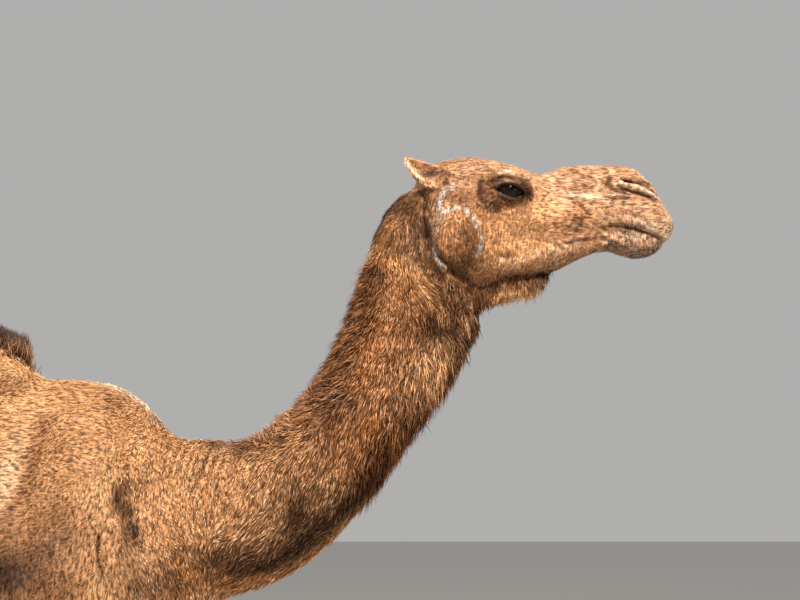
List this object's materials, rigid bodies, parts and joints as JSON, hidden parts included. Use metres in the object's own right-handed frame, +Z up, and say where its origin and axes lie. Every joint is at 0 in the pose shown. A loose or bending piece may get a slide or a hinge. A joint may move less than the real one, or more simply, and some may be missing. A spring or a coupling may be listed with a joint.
{
  "type": "dromedary camel",
  "caption": "Life-size dromedary camel, standing still with its head raised: tan coat, long neck, a hump with a dark brush of hair, broad soft feet.",
  "frame": {"origin": "on the floor, under the middle of the whole animal's length and width", "axes": "+X the way the head points, +Y the animal's left, +Z up"},
  "size_m": [2.54, 0.5702, 2.2623],
  "materials": {
    "tan_coat": "short dense hair, matt",
    "dark_hump_hair": "curly dark brown hair, matt",
    "bare_hide": "thick grey-brown callus",
    "dark_eye": "wet, dark brown",
    "toenail": "dull dark horn"
  },
  "bodies": {
    "root": {"trunk": "tan_coat", "hump": "dark_hump_hair", "chest_pad": "bare_hide", "tail": "tan_coat", "neck_lower": "tan_coat", "neck_middle": "tan_coat", "neck_upper": "tan_coat", "head": "tan_coat", "lower_jaw": "tan_coat", "ear_left": "tan_coat", "ear_right": "tan_coat", "eye_left": "dark_eye", "eye_right": "dark_eye", "foreleg_left_upper": "tan_coat", "foreleg_left_lower": "tan_coat", "forefoot_left": "tan_coat", "forefoot_left_nail_outer": "toenail", "forefoot_left_nail_inner": "toenail", "foreleg_right_upper": "tan_coat", "foreleg_right_lower": "tan_coat", "forefoot_right": "tan_coat", "forefoot_right_nail_outer": "toenail", "forefoot_right_nail_inner": "toenail", "hindleg_left_upper": "tan_coat", "hindleg_left_lower": "tan_coat", "hindfoot_left": "tan_coat", "hindfoot_left_nail_outer": "toenail", "hindfoot_left_nail_inner": "toenail", "hindleg_right_upper": "tan_coat", "hindleg_right_lower": "tan_coat", "hindfoot_right": "tan_coat", "hindfoot_right_nail_outer": "toenail", "hindfoot_right_nail_inner": "toenail"}
  },
  "joints": []
}
